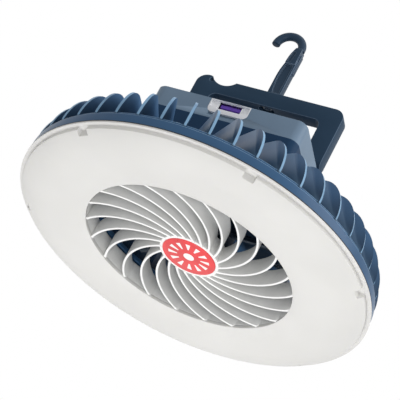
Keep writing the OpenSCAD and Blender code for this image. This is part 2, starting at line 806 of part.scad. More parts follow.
module battery_cell_1() { battery_cell(1); }
module battery_cell_2() { battery_cell(2); }
module battery_cell_3() { battery_cell(3); }
module battery_cell_4() { battery_cell(4); }

module cell_holder() {
  color("#3b3f44") difference() {
    translate([-holder_w / 2, -holder_l / 2, floor_z]) cube([holder_w, holder_l, holder_h]);
    for (i = [1 : 4]) translate([(i - 2.5) * cell_pitch, cell_l / 2 + 0.3, cell_z])
      rotate([90, 0, 0]) cylinder(d = cell_d + 2 * cell_fit, h = cell_l + 0.6);
  }
}

module cell_tabs() {
  tab_h = 7;
  color("silver") for (s = [-1, 1], i = [-1, 1])
    translate([i * cell_pitch - cell_pitch / 2 - 3, s * (cell_l / 2 + 0.1) - 0.1, cell_z - tab_h / 2])
      cube([cell_pitch + 6, 0.2, tab_h]);
}

module main_board() {
  color("#1f6a45") difference() {
    translate([-board_w / 2, -board_l / 2, board_z]) cube([board_w, board_l, board_t]);
    corners(standoff_x, standoff_y)
      translate([0, 0, board_z - 1]) cylinder(r = 1 + run_gap, h = 5, $fn = 24);
  }
}

module board_parts() {
  color("#26282b") {
    translate([-13, 8, board_top]) cube([8, 8, 1.2]);
    translate([4, 6, board_top]) cube([10, 10, 3.2]);
    translate([-3, 24, board_top]) cube([5, 6, 1]);
    for (x = [-12, 0, 12]) translate([x, -2, board_z - 3]) cylinder(r = 2.2, h = 3, $fn = 32);
    translate([-20, 2, board_top]) cube([3, 10, 2.6]);
  }
}

module board_screws() {
  color(steel) corners(standoff_x, standoff_y) translate([0, 0, board_z])
    screw(1, board_t + cover_under - board_top - 0.7, 1.9, 1.1);
}

// Outline of the port trim: square at the top, rounded below
module trim_outline(grow) {
  r = 2.8;
  w = trim_w + 2 * grow;
  translate([-w / 2, r]) square([w, trim_h - r + grow]);
  translate([-w / 2 + r, -grow]) square([w - 2 * r, r + 1]);
  for (s = [-1, 1]) translate([s * (w / 2 - r), r - grow]) circle(r);
}

module port_trim() {
  color("#e4e7ea") translate([0, -box_w / 2 + trim_t, trim_z]) rotate([90, 0, 0]) difference() {
    linear_extrude(trim_t) trim_outline(0);
    // trough with the socket's mouth in the middle
    translate([0, trim_h - 0.5 - 4.2 / 2, trim_t - 1.2]) linear_extrude(2) square([trim_w - 1.4, 4.2], center = true);
    translate([-usb_a_w / 2 - 0.05, usb_a_z - trim_z - 0.05, -1]) cube([usb_a_w + 0.1, usb_a_h + 0.1, trim_t + 2]);
  }
}

module usb_a_shell() {
  color("#c9ccd0") translate([-usb_a_w / 2, usb_a_y, usb_a_z]) difference() {
    cube([usb_a_w, usb_a_l, usb_a_h]);
    translate([usb_a_wall, -1, usb_a_wall])
      cube([usb_a_w - 2 * usb_a_wall, usb_a_l, usb_a_h - 2 * usb_a_wall]);
  }
}

module usb_a_tongue() {
  color("#6a4aa8") translate([-usb_a_w / 2 + 1, usb_a_y + 0.8, usb_a_z + usb_a_h - usb_a_wall - 2.6])
    cube([usb_a_w - 2, usb_a_l - 1.8, 1.9]);
}

module usb_c_shell() {
  color("#c9ccd0") translate([0, usb_c_y, usb_a_z + usb_c_h / 2]) rotate([90, 0, 0]) difference() {
    linear_extrude(usb_c_l) slot(usb_c_w, usb_c_h);
    translate([0, 0, -1]) linear_extrude(usb_c_l) slot(usb_c_w - 0.7, usb_c_h - 0.7);
  }
}

module usb_c_tongue() {
  color("#2a2c30") translate([-3.3, usb_c_y - usb_c_l + 1, usb_a_z + usb_c_h / 2 - 0.35])
    cube([6.6, usb_c_l - 2, 0.7]);
}

module tact_switch(x) {
  color("#1d1f22") translate([x, button_y, board_top]) difference() {
    translate([-switch_w / 2, -switch_w / 2, 0]) cube([switch_w, switch_w, switch_h]);
    translate([0, 0, switch_h - stem_reach - button_travel - 0.3])
      cylinder(r = stem_r + run_gap, h = switch_h, $fn = 32);
  }
}

module fan_switch() { tact_switch(-button_x); }
module light_switch() { tact_switch(button_x); }

module push_button(x) {
  color("#3c4957") translate([x, button_y, 0]) {
    translate([0, 0, button_under]) cylinder(d = button_d + 2 * button_flange, h = cover_under - button_under - run_gap);
    translate([0, 0, button_under]) cylinder(d = button_d, h = box_top + button_proud - button_under);
    translate([0, 0, board_top + switch_h - stem_reach])
      cylinder(r = stem_r, h = button_under - board_top - switch_h + stem_reach + eps, $fn = 32);
  }
}

module fan_button() { push_button(-button_x); }
module light_button() { push_button(button_x); }

module charge_window() {
  color("#dfe6ea") translate([0, window_y, cover_under - 0.6]) {
    linear_extrude(cover_top_t + 0.6) slot(window_w, window_l);
    linear_extrude(0.6) slot(window_w + 2, window_l + 2);
  }
}

// ---------- bracket and hook ----------
// Outline of the bracket: x across, y up from the hinge axis
module bracket_outline() {
  half = bracket_w / 2;
  r = bracket_r;
  difference() {
    union() {
      translate([-half, 0]) square([bracket_w, bracket_h - r]);
      translate([-half + r, 0]) square([bracket_w - 2 * r, bracket_h]);
      translate([half - r, bracket_h - r]) circle(r);
      // lobe beside the notch
      translate([-half + r, bracket_h - r + lobe_h]) circle(r);
      translate([-half, bracket_h - 2 * r]) square([2 * r, r + lobe_h]);
    }
    // opener notch with a small bite under the lobe's tip
    translate([notch_x, bracket_h - notch_depth + notch_r]) circle(notch_r);
    translate([notch_x - notch_r + 1.3, bracket_h - 1.3]) circle(1.3, $fn = 32);
    translate([0, (lower_bar + bracket_h - bar_h) / 2])
      rounded_square(bracket_w - 2 * side_w, bracket_h - bar_h - lower_bar, 4);
  }
}

module bracket() {
  cut_w = lug_w + 2 * lug_gap;
  color(navy) translate([0, 0, hinge_z]) difference() {
    union() {
      rotate([90, 0, 0]) translate([0, 0, -bracket_t / 2]) linear_extrude(bracket_t) bracket_outline();
      rotate([0, 90, 0]) cylinder(d = bracket_t, h = bracket_w, center = true);
    }
    for (s = [-1, 1]) {
      translate([s * lug_x - cut_w / 2, -bracket_t, -bracket_t]) cube([cut_w, 2 * bracket_t, bracket_t + cut_h]);
      translate([s * lug_x, 0, 0]) rotate([0, 90, 0])
        cylinder(r = hinge_pin_d / 2 + run_gap, h = hinge_pin_l + 1, center = true, $fn = 48);
    }
    // swivel bore of the hook, and the pocket of its clip
    translate([0, 0, bracket_h - bar_h - 1]) cylinder(r = post_r_out + run_gap, h = bar_h + 5, $fn = 48);
    translate([0, 0, bracket_h - bar_h - eps]) linear_extrude(pocket_h) slot(pocket_w, bracket_t - 2.6);
  }
}

module hinge_pins() {
  color("silver") for (s = [-1, 1]) translate([s * lug_x, 0, hinge_z])
    rotate([0, 90, 0]) cylinder(r = hinge_pin_d / 2, h = hinge_pin_l, center = true, $fn = 48);
}

module hinge_washers() {
  washer_t = lug_gap - 0.1;
  color("#d9dadc") for (s = [-1, 1], e = [-1, 1])
    translate([s * lug_x + e * (lug_w / 2 + washer_t / 2), 0, hinge_z]) rotate([0, 90, 0])
      difference() {
        cylinder(r = bracket_t / 2 - 0.4, h = washer_t, center = true, $fn = 48);
        cylinder(r = hinge_pin_d / 2 + run_gap, h = 2, center = true, $fn = 48);
      }
}

// Outline of the arm, x across and y up, with its left edge curving in towards the sleeve
module arm_outline(inset) {
  bend = 46;
  intersection() {
    translate([-arm_w / 2 + inset, inset]) square([arm_w - 2 * inset, arm_l - sleeve_h + 3 - 2 * inset]);
    translate([-arm_w / 2 + bend, arm_l * 0.36]) circle(bend - inset, $fn = 180);
  }
  if (inset == 0) translate([-arm_w / 2, 0]) square([arm_w, arm_l * 0.36]);
}

module sleeve_outline() {
  bend = 30;
  intersection() {
    translate([-2.6, arm_l - sleeve_h]) square([arm_w / 2 + 2.2, sleeve_h]);
    translate([-2.6 + bend, arm_l - sleeve_h]) circle(bend, $fn = 180);
  }
}

module hook_arm() {
  sleeve_t = arm_t + 0.6;
  channel = 1.1;
  color(navy) difference() {
    union() {
      translate([0, arm_t / 2, arm_z]) rotate([90, 0, 0]) linear_extrude(arm_t) arm_outline(0);
      translate([0, sleeve_t / 2, arm_z]) rotate([90, 0, 0]) linear_extrude(sleeve_t) sleeve_outline();
      // raised strip on the sleeve's outer side
      translate([arm_w / 2 - 1.4, -1.6, arm_top - sleeve_h - 5.4]) cube([2, 3.2, sleeve_h + 2]);
      translate([0, 0, bar_z + pocket_h + 0.2]) cylinder(r = post_r_out, h = arm_z + 1 - bar_z - pocket_h, $fn = 48);
      translate([0, 0, bar_z + 1]) cylinder(r = post_r_out - 0.5, h = pocket_h, $fn = 48);
    }
    // channels in both faces
    for (s = [-1, 1]) translate([0, s * (arm_t / 2 - channel / 2), arm_z]) rotate([90, 0, 0])
      translate([0, 0, -channel / 2 - (s > 0 ? eps : 0)]) linear_extrude(channel + eps) intersection() {
        arm_outline(1.2);
        square([arm_w, 2 * (arm_l - sleeve_h - 0.8)], center = true);
      }
    // long recess in both faces of the sleeve
    for (s = [-1, 1]) translate([-0.5, s * sleeve_t / 2, arm_top - sleeve_h / 2 - 0.8])
      rotate([90, -82, 0]) translate([0, 0, -0.9]) linear_extrude(1.8) slot(7, 1.8);
    // seat of the tip's stem
    translate([tip_x, 0, arm_top - 8]) cylinder(d = 3.4, h = 10, $fn = 48);
  }
}

module hook_tip() {
  color("#33475c") {
    translate([tip_x - bend_r, 0, arm_top + 0.8]) rotate([90, 0, 0])
      rotate_extrude(angle = 180) translate([bend_r, 0]) circle(d = tip_d, $fn = 48);
    translate([tip_x, 0, arm_top]) cylinder(d = tip_d, h = 0.8 + eps, $fn = 48);
    translate([tip_x, 0, arm_top - 8]) cylinder(d = 3.4, h = 8 + eps, $fn = 48);
  }
}

module hook_clip() {
  color("#1c1e21") translate([0, 0, bar_z + 1.4]) ring(bracket_t / 2 - 1.5, post_r_out - 0.5, 1.2, $fn = 48);
}

lamp_lens();
rim_seal();
led_board();
led_chips();
lamp_tray();
tray_screws();
front_grille();
hub_badge();
grille_screws();
fin_housing();
impeller();
rotor_cup();
rotor_magnet();
motor_shaft();
front_bearing();
rear_bearing();
shaft_clip();
stator_core();
stator_coils();
motor_board();
motor_base();
motor_screws();
box_base();
base_screws();
box_cover();
cover_screws();
battery_cell_1();
battery_cell_2();
battery_cell_3();
battery_cell_4();
cell_holder();
cell_tabs();
main_board();
board_parts();
board_screws();
port_trim();
usb_a_shell();
usb_a_tongue();
usb_c_shell();
usb_c_tongue();
fan_switch();
light_switch();
fan_button();
light_button();
charge_window();
bracket();
hinge_pins();
hinge_washers();
hook_arm();
hook_tip();
hook_clip();
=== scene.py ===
"""Dresses the CAD frame of a portable camping fan: shaped pieces, procedural finishes and a plain studio"""

import json
import math

import bmesh
import bpy
from bpy.props import FloatProperty, FloatVectorProperty, IntProperty, PointerProperty
from mathutils import Matrix, Vector


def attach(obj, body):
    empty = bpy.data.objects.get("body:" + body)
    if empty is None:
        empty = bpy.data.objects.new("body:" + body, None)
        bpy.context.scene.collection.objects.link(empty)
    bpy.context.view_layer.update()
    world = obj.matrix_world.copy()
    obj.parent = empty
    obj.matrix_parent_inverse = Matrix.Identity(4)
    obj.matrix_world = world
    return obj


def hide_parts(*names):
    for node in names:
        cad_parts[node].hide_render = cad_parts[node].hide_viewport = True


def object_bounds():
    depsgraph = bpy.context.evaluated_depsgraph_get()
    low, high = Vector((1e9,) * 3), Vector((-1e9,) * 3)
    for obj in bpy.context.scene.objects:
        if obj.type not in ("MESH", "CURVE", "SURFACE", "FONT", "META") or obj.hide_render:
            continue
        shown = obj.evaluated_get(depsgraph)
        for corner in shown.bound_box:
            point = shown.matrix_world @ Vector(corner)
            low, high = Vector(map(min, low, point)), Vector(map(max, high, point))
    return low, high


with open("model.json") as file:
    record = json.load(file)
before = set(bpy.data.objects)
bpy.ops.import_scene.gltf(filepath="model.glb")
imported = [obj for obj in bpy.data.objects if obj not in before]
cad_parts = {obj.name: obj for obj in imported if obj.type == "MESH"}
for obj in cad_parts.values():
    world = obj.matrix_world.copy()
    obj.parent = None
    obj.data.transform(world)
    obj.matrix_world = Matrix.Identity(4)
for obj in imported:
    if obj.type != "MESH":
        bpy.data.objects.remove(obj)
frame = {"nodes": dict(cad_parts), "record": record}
CAD_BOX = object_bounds()

bl_info = {
    "name": "Camping fan dresser",
    "version": (1, 0, 0),
    "blender": (4, 5, 0),
    "location": "View3D > Sidebar > Fan",
    "description": "Shapes and finishes for a portable camping fan with a ring lamp and a hook",
    "category": "Object",
}

MM = 0.001
BODY = {node: body for body, members in frame["record"]["behaviour"]["bodies"].items() for node in members}


# ---------- colours ----------
def srgb(code):
    """Linear colour of a six-digit hex code"""
    parts = [int(code[i : i + 2], 16) / 255 for i in (0, 2, 4)]
    return [p / 12.92 if p <= 0.04045 else ((p + 0.055) / 1.055) ** 2.4 for p in parts]


def colour_property(label, code, text):
    return FloatVectorProperty(
        name=label, description=text, default=srgb(code), subtype="COLOR", min=0, max=1
    )


def size_property(label, value, text):
    """A length in metres, given in millimetres"""
    return FloatProperty(name=label, description=text, default=value * MM, unit="LENGTH", precision=4)


# ---------- settings ----------
class LampSettings(bpy.types.PropertyGroup):
    """Ring lamp: lens, seal and light chips"""

    lens: colour_property("Lens", "DDDCD9", "Milky white of the lens")
    seal: colour_property("Seal", "0B0D10", "Black of the rim seal")
    glow: colour_property("Chips", "F4DE72", "Yellow of the light chips")
    ease: size_property("Edge easing", 0.3, "Rounding of the lens's edges")


class GrilleSettings(bpy.types.PropertyGroup):
    """Spiral grille and its badge"""

    ribs: IntProperty(name="Ribs", description="Number of spiral ribs", default=22, min=6, max=60)
    first: FloatProperty(
        name="First rib", description="Where the first rib leaves the hub, in degrees", default=11.6
    )
    sweep: FloatProperty(
        name="Sweep", description="Angle that a rib sweeps on its way out, in degrees", default=53
    )
    middle: FloatProperty(name="Sweep halfway", description="Angle swept halfway out, in degrees", default=30)
    rib_t: size_property("Rib thickness", 1.3, "Thickness of a rib")
    plastic: colour_property("Grille", "EAEAE8", "Warm grey white of the grille")
    badge: colour_property("Badge", "E0161E", "Red of the badge")
    dashes: IntProperty(
        name="Dashes", description="Number of white dashes on the badge", default=12, min=3, max=40
    )


class HousingSettings(bpy.types.PropertyGroup):
    """Ring with cooling fins"""

    fins: IntProperty(name="Fins", description="Number of cooling fins", default=47, min=8, max=90)
    first: FloatProperty(
        name="First fin", description="Azimuth of the first fin's outer end, in degrees", default=-77
    )
    lean: FloatProperty(
        name="Lean", description="Angle between a fin and the radius, in degrees", default=19.6
    )
    fin_t: size_property("Fin thickness", 1.4, "Thickness of a fin")
    ring: colour_property("Ring", "38597B", "Blue of the ring")
    fin: colour_property("Fin", "2B4159", "Dark blue of a fin's faces")
    # colour of the painted highlight on the fins' edges and on the ring's rounded edge
    edge: colour_property("Fin edge", "86AECF", "Light blue where a fin's edge is rubbed bright")


class BoxSettings(bpy.types.PropertyGroup):
    """Battery box with its ports and buttons"""

    lower: colour_property("Lower shell", "213B57", "Navy of the lower shell")
    upper: colour_property("Cover", "71869B", "Slate of the cover")
    button: colour_property("Buttons", "3C4A5A", "Grey blue of the buttons")
    tongue: colour_property("Socket tongue", "6A48B4", "Violet of the larger socket's tongue")
    ease: size_property("Edge easing", 0.3, "Rounding of the buttons' edges")


class BracketSettings(bpy.types.PropertyGroup):
    """Folding bracket and swivel hook"""

    plate: colour_property("Bracket", "2E4256", "Navy of the bracket")
    hook: colour_property("Hook", "2A3E52", "Navy of the hook")
    ease: size_property("Edge easing", 0.3, "Rounding of the bracket's edges")


class StageSettings(bpy.types.PropertyGroup):
    """Camera, lamps and floor"""

    focal: FloatProperty(name="Focal length", description="Focal length on a 36 mm sensor", default=270)
    key: FloatProperty(
        name="Key lamp", description="Power of the key lamp, below the lens, in watts", default=5.5
    )
    front: FloatProperty(name="Front lamp", description="Power of the lamp by the camera in watts", default=5)
    side: FloatProperty(name="Side lamp", description="Power of the lamp at the right in watts", default=10)
    top: FloatProperty(name="Top lamp", description="Power of the top lamp in watts", default=7)
    sky: FloatProperty(name="Sky", description="Strength of the even light from all round", default=0.42)
    floor: colour_property("Floor", "EDEDEC", "Colour of the plain floor")


# ---------- shader maths ----------
class Wire:
    """A socket of a material, ready for sums: 1 - mask adds the Math node"""

    def __init__(self, finish, socket):
        self.finish, self.socket = finish, socket

    def math(self, operation, *values, clamp=False):
        settings = {"operation": operation, "use_clamp": clamp}
        return self.finish.node("ShaderNodeMath", settings, dict(enumerate(values)))

    def __add__(self, other):
        return self.math("ADD", self, other)

    def __sub__(self, other):
        return self.math("SUBTRACT", self, other)

    def __rsub__(self, other):
        return self.math("SUBTRACT", other, self)

    def __mul__(self, other):
        return self.math("MULTIPLY", self, other)

    def __truediv__(self, other):
        return self.math("DIVIDE", self, other)

    def __pow__(self, other):
        return self.math("POWER", self, other)

    __radd__, __rmul__ = __add__, __mul__

    def step(self, low, high):
        """0 below low, 1 above high and smooth between; low may be the higher one"""
        inputs = {0: self, 1: low, 2: high, 3: 0.0, 4: 1.0}
        return self.finish.node("ShaderNodeMapRange", {"interpolation_type": "SMOOTHSTEP"}, inputs)

    def least(self, other):
        return self.math("MINIMUM", self, other)

    def most(self, other):
        return self.math("MAXIMUM", self, other)

    def size(self):
        return self.math("ABSOLUTE", self)


class Finish:
    """A procedural material under construction"""

    def __init__(self, name):
        self.material = bpy.data.materials.new(name)
        self.material.use_nodes = True
        self.tree = self.material.node_tree
        self.shader = self.tree.nodes["Principled BSDF"]

    def node(self, kind, settings=None, inputs=None, out=0):
        """Adds a node, its settings first, and gives one of its outputs"""
        made = self.tree.nodes.new(kind)
        for key, value in (settings or {}).items():
            setattr(made, key, value)
        for key, value in (inputs or {}).items():
            self.join(made.inputs[key], value)
        return Wire(self, made.outputs[out])

    def join(self, socket, value):
        if isinstance(value, Wire):
            self.tree.links.new(value.socket, socket)
        elif socket.type in ("RGBA", "VECTOR") and not isinstance(value, (int, float)):
            value = list(value)
            socket.default_value = value + [1.0] if socket.type == "RGBA" and len(value) == 3 else value
        else:
            socket.default_value = value

    def surface(self, **sockets):
        """Sets the shader's sockets, with _ for a space"""
        for key, value in sockets.items():
            self.join(self.shader.inputs[key.replace("_", " ")], value)
        return self.material

    def place(self):
        return self.node("ShaderNodeTexCoord", out="Object")

    def facing(self):
        return self.node("ShaderNodeTexCoord", out="Normal")

    def highlit(self):
        """1 on the faces that skinned() makes where it eases an edge, which the materials paint with a
        highlight, 0 elsewhere
        """
        return self.node("ShaderNodeAttribute", {"attribute_name": "highlit"}, out="Fac")

    def axes(self, vector):
        split = self.node("ShaderNodeSeparateXYZ", inputs={0: vector})
        return split, *(Wire(self, split.socket.node.outputs[i]) for i in (1, 2))

    def noise(self, per_metre, detail=3.0, roughness=0.5, stretch=(1, 1, 1)):
        place = self.node("ShaderNodeMapping", inputs={"Vector": self.place(), "Scale": stretch})
        inputs = {"Vector": place, "Scale": per_metre, "Detail": detail, "Roughness": roughness}
        return self.node("ShaderNodeTexNoise", inputs=inputs)

    def cells(self, per_metre, feature="F1", out="Distance"):
        inputs = {"Vector": self.place(), "Scale": per_metre}
        return self.node("ShaderNodeTexVoronoi", {"feature": feature}, inputs, out)

    def mix(self, share, a, b):
        return self.node("ShaderNodeMix", {"data_type": "RGBA"}, {0: share, 6: a, 7: b}, out=2)

    def shade(self, colour, factor):
        """A plain colour made lighter or darker"""
        return [min(1.0, c * factor) for c in colour]

    def bump(self, height, depth, strength=1.0):
        return self.node("ShaderNodeBump", inputs={"Height": height, "Distance": depth, "Strength": strength})


def moulded(
    name, colour, grain=1400, depth=0.03, rough=0.42, shine=0.2, mottle=0.07, rub=0.0, edge=0.0
):
    """Injection-moulded plastic: spark texture, slow tone changes, faint scratches, and a painted highlight
    on eased edges
    """
    f = Finish(name)
    cloud = f.noise(38, 2)
    scratch = f.noise(260, 4, 0.7, (1, 0.12, 1)).step(0.66, 0.72)
    fine = f.noise(grain, 2, 0.6)
    body = f.mix(cloud.step(0.3, 0.7), f.shade(colour, 1 - mottle), f.shade(colour, 1 + mottle))
    tone = f.mix(scratch * (0.08 + rub), body, f.shade(colour, 1.7))
    # painted highlight: the eased edges are mixed towards a paler colour, weighted by edge
    if edge:
        pale = f.shade([c + 0.05 for c in colour], 2.4)
        tone = f.mix(f.highlit() * edge * (0.6 + 0.4 * cloud), tone, pale)
    return f.surface(
        Base_Color=tone,
        Roughness=rough + (cloud - 0.5) * 0.12 + scratch * 0.08,
        Normal=f.bump(fine + scratch * 0.4, depth * MM, 0.6),
        Specular_IOR_Level=shine,
    )


def metal(name, code, rough=0.28, stretch=(1, 1, 1), lines=900, spots=0.0):
    """Worked metal: fine tool marks, with a few dull spots"""
    f = Finish(name)
    colour = srgb(code)
    marks = f.noise(lines, 3, 0.6, stretch)
    dull = f.noise(90, 3).step(0.5, 0.75)
    tone = f.mix(marks.step(0.3, 0.7), f.shade(colour, 0.86), f.shade(colour, 1.08))
    return f.surface(
        Base_Color=f.mix(dull * (0.12 + spots), tone, f.shade(colour, 0.55)),
        Metallic=1.0,
        Roughness=rough + (marks - 0.5) * 0.18 + dull * 0.1,
        Normal=f.bump(marks, 0.01 * MM, 0.5),
    )


def lens_finish(settings):
    """Milky lens plastic: nearly smooth, faint flow marks, a painted highlight on eased edges, and the rim
    band painted darker as shade with a trace of dust on it
    """
    f = Finish("milky_lens")
    x, y, z = f.axes(f.place())
    radius = (x * x + y * y) ** 0.5
    rim = radius.step(0.0970, 0.0985)
    flow = f.noise(22, 2, 0.4)
    dust = f.noise(700, 3, 0.7).step(0.55, 0.8) * rim
    body = f.mix(flow.step(0.3, 0.7), f.shade(settings.lens, 0.975), f.shade(settings.lens, 1.02))
    # painted shade: the rim band is made darker, with dust spots on it
    body = f.mix(rim * 0.08 + dust * 0.2, body, srgb("B9B6B0"))
    return f.surface(
        # painted highlight: the eased edges are made near white
        Base_Color=f.mix(f.highlit() * 0.8, body, srgb("FAFAF9")),
        Roughness=0.5 + (flow - 0.5) * 0.1 + dust * 0.3,
        Normal=f.bump(f.noise(420, 2, 0.5), 0.02 * MM, 0.35),
        Subsurface_Weight=0.25,
        Subsurface_Radius=(0.006, 0.006, 0.005),
        Subsurface_Scale=0.6,
        Specular_IOR_Level=0.25,
    )


def grille_finish(settings):
    """Satin white plastic: the ribs' front faces get a painted highlight, dust dulls the sides at the rear"""
    f = Finish("grille_white")
    _, _, rise = f.axes(f.place())
    front = rise.step(0.0037, 0.0025)
    _, _, ahead = f.axes(f.facing())
    # painted highlight: the ribs' front faces are made near white
    front_highlight = front * (ahead * -1).step(0.2, 0.8)
    cloud = f.noise(60, 3)
    dust = f.noise(900, 3, 0.7).step(0.5, 0.85) * rise.step(0.004, 0.011)
    sides = f.mix(cloud.step(0.3, 0.7), f.shade(settings.plastic, 0.93), f.shade(settings.plastic, 1.03))
    body = f.mix(dust * 0.35, sides, srgb("9B9A97"))
    return f.surface(
        Base_Color=f.mix(front_highlight, body, srgb("F6F6F5")),
        Roughness=0.4 + (cloud - 0.5) * 0.1 + dust * 0.3 - front_highlight * 0.08,
        Normal=f.bump(f.noise(1600, 2), 0.02 * MM, 0.5),
        Subsurface_Weight=0.1,
        Subsurface_Radius=(0.004, 0.004, 0.004),
        Subsurface_Scale=0.5,
    )


def badge_finish(settings):
    """Printed badge: a ring of tapered white dashes round a plain white centre on red"""
    f = Finish("badge_print")
    x, y, _ = f.axes(f.place())
    radius = (x * x + y * y) ** 0.5
    turn = y.math("ARCTAN2", y, x) * (settings.dashes / (2 * math.pi)) + 0.25
    off = (turn.math("FRACT", turn) - 0.5).size() * (2 * math.pi / settings.dashes)
    across = off * radius
    half = 0.35 * MM + (radius - 6.6 * MM) * 0.2
    dash = (half - across).step(-0.08 * MM, 0.08 * MM) * radius.step(6.5 * MM, 6.7 * MM)
    dash = dash * radius.step(11.7 * MM, 11.5 * MM)
    centre = radius.step(3.1 * MM, 2.9 * MM)
    paint = dash.most(centre)
    cloud = f.noise(140, 3)
    red = f.mix(cloud.step(0.3, 0.7), f.shade(settings.badge, 0.9), f.shade(settings.badge, 1.08))
    return f.surface(
        Base_Color=f.mix(paint, red, srgb("F5F2F0")),
        Roughness=0.3 + (cloud - 0.5) * 0.12,
        Normal=f.bump(paint + f.noise(1500, 2) * 0.2, 0.04 * MM, 0.5),
        Coat_Weight=0.4,
        Coat_Roughness=0.12,
    )


def ring_finish(settings):
    """Glossy blue moulding of the ring and the crown, with a painted highlight along the rounded edge"""
    f = Finish("ring_blue")
    _, _, nz = f.axes(f.facing())
    cloud = f.noise(38, 2)
    scratch = f.noise(260, 4, 0.7, (1, 1, 0.12)).step(0.66, 0.72)
    body = f.mix(cloud.step(0.3, 0.7), f.shade(settings.ring, 0.94), f.shade(settings.ring, 1.06))
    # painted highlight on the rounded edges, picked by the normal's tilt
    edge_highlight = nz.step(0.2, 0.5) * nz.step(0.97, 0.8) * (0.5 + 0.5 * cloud)
    return f.surface(
        Base_Color=f.mix((edge_highlight + scratch * 0.1).least(1.0), body, settings.edge),
        Roughness=0.3 + (cloud - 0.5) * 0.12 + scratch * 0.08,
        Normal=f.bump(f.noise(1500, 2, 0.6) + scratch * 0.4, 0.025 * MM, 0.5),
        Specular_IOR_Level=0.15,
    )


def fin_finish(settings):
    """Blue moulding: thin edges that face outwards or up get a painted highlight, and the faces are painted
    darker by the ring and lighter towards the top, as shade and light
    """
    f = Finish("fin_blue")
    x, y, z = f.axes(f.place())
    nx, ny, nz = f.axes(f.facing())
    radius = (x * x + y * y) ** 0.5
    outward = (nx * x + ny * y) / radius
    flat = (1 - outward * outward - nz * nz).most(0.0)
    lean = math.radians(settings.lean)
    thin = flat.step(0.8 * math.cos(lean) ** 2, 0.45 * math.cos(lean) ** 2)
    outer = radius.step(0.074, 0.088)
    cloud = f.noise(45, 3)
    # painted shade and light: the faces are darker by the ring and lighter towards the top
    height = z.step(0.0165, 0.037)
    face = f.mix(height, f.shade(settings.fin, 0.8), f.shade(settings.fin, 3.0))
    face = f.mix(cloud.step(0.35, 0.65) * 0.3, face, f.shade(settings.fin, 1.2))
    # painted highlight on the thin edges that face outwards or up
    edge_highlight = thin * (0.55 + 0.45 * cloud.step(0.25, 0.6)) * outer * z.step(0.0152, 0.0165)
    return f.surface(
        Base_Color=f.mix(edge_highlight * 0.85, face, settings.edge),
        Roughness=0.36 + (cloud - 0.5) * 0.14,
        Normal=f.bump(f.noise(1500, 2), 0.025 * MM, 0.5),
        Specular_IOR_Level=0.15,
    )


def board_finish(name, code, track):
    """Circuit board: solder mask over thin tracks, with rows of tinned holes"""
    f = Finish(name)
    colour = srgb(code)
    place = f.place()
    tracks = f.node(
        "ShaderNodeTexBrick",
        {"offset": 0.37, "squash": 0.6},
        {"Vector": place, "Scale": 130.0, "Mortar Size": 0.02, "Mortar Smooth": 0.1, "Brick Width": 0.9},
        out="Fac",
    )
    holes = f.cells(420, out="Distance").step(0.16, 0.12)
    cloud = f.noise(80, 2)
    body = f.mix(cloud.step(0.3, 0.7), f.shade(colour, 0.9), f.shade(colour, 1.1))
    body = f.mix(tracks * 0.55, body, srgb(track))
    return f.surface(
        Base_Color=f.mix(holes * 0.6, body, srgb("C9C4B0")),
        Roughness=0.34 + (cloud - 0.5) * 0.1,
        Normal=f.bump(tracks - holes, 0.04 * MM, 0.5),
    )


def coil_finish():
    """Enamelled copper wire, laid side by side along each tooth, each turn painted light on its crest and
    dark in its groove as shade
    """
    f = Finish("copper_wire")
    x, y, z = f.axes(f.place())
    radius = (x * x + y * y) ** 0.5
    phase = radius * (2 * math.pi / (0.55 * MM))
    turns_and_groove_shade = phase.math("SINE", phase) * 0.5 + 0.5
    # painted shade: dark in the grooves between turns, light on the crests
    tone = f.mix(turns_and_groove_shade, srgb("6E2F12"), srgb("C9743A"))
    return f.surface(
        Base_Color=f.mix(f.noise(300, 2).step(0.45, 0.7) * 0.4, tone, srgb("A4552A")),
        Metallic=0.8,
        Roughness=0.3 + turns_and_groove_shade * 0.1,
        Normal=f.bump(turns_and_groove_shade, 0.15 * MM, 0.8),
    )


def wrap_finish():
    """Shrink-wrapped battery cell: blue film with a pale band at each end and fine wrinkles"""
    f = Finish("cell_wrap")
    _, y, _ = f.axes(f.place())
    ends = y.size().step(0.0302, 0.0306)
    folds = f.noise(240, 3, 0.6, (1, 0.15, 1))
    body = f.mix(folds.step(0.3, 0.7), srgb("1F6DA3"), srgb("3B8EC6"))
    return f.surface(
        Base_Color=f.mix(ends, body, srgb("D8DCDF")),
        Roughness=0.26 + (folds - 0.5) * 0.12,
        Normal=f.bump(folds + ends * 0.6, 0.05 * MM, 0.5),
        Coat_Weight=0.3,
    )


def chip_finish(settings):
    """Light chip: yellow phosphor with darker grains"""
    f = Finish("light_chip")
    grain = f.noise(2600, 3, 0.7)
    return f.surface(
        Base_Color=f.mix(grain.step(0.35, 0.7), f.shade(settings.glow, 0.82), settings.glow),
        Roughness=0.25 + grain * 0.1,
        Normal=f.bump(grain, 0.02 * MM, 0.5),
        Coat_Weight=0.5,
    )


def rubber_finish(name, colour):
    """Matt rubber with a dry bloom in patches"""
    f = Finish(name)
    bloom = f.noise(120, 4, 0.6).step(0.5, 0.8)
    return f.surface(
        Base_Color=f.mix(bloom * 0.35, colour, f.shade([c + 0.02 for c in colour], 2.2)),
        Roughness=0.7 + bloom * 0.15,
        Normal=f.bump(f.noise(2200, 2), 0.03 * MM, 0.6),
    )


def window_finish():
    """Frosted light-pipe plastic over four small lamps"""
    f = Finish("frosted_window")
    x, _, _ = f.axes(f.place())
    beat = x.math("PINGPONG", x + 0.004, 0.002) / 0.002
    spot = (1 - beat).step(0.55, 0.2)
    frost = f.noise(1200, 3)
    return f.surface(
        Base_Color=f.mix(spot * 0.35, srgb("DDE6EA"), srgb("A9CDB4")),
        Roughness=0.38 + (frost - 0.5) * 0.2,
        Normal=f.bump(frost, 0.03 * MM, 0.5),
        Coat_Weight=0.3,
    )


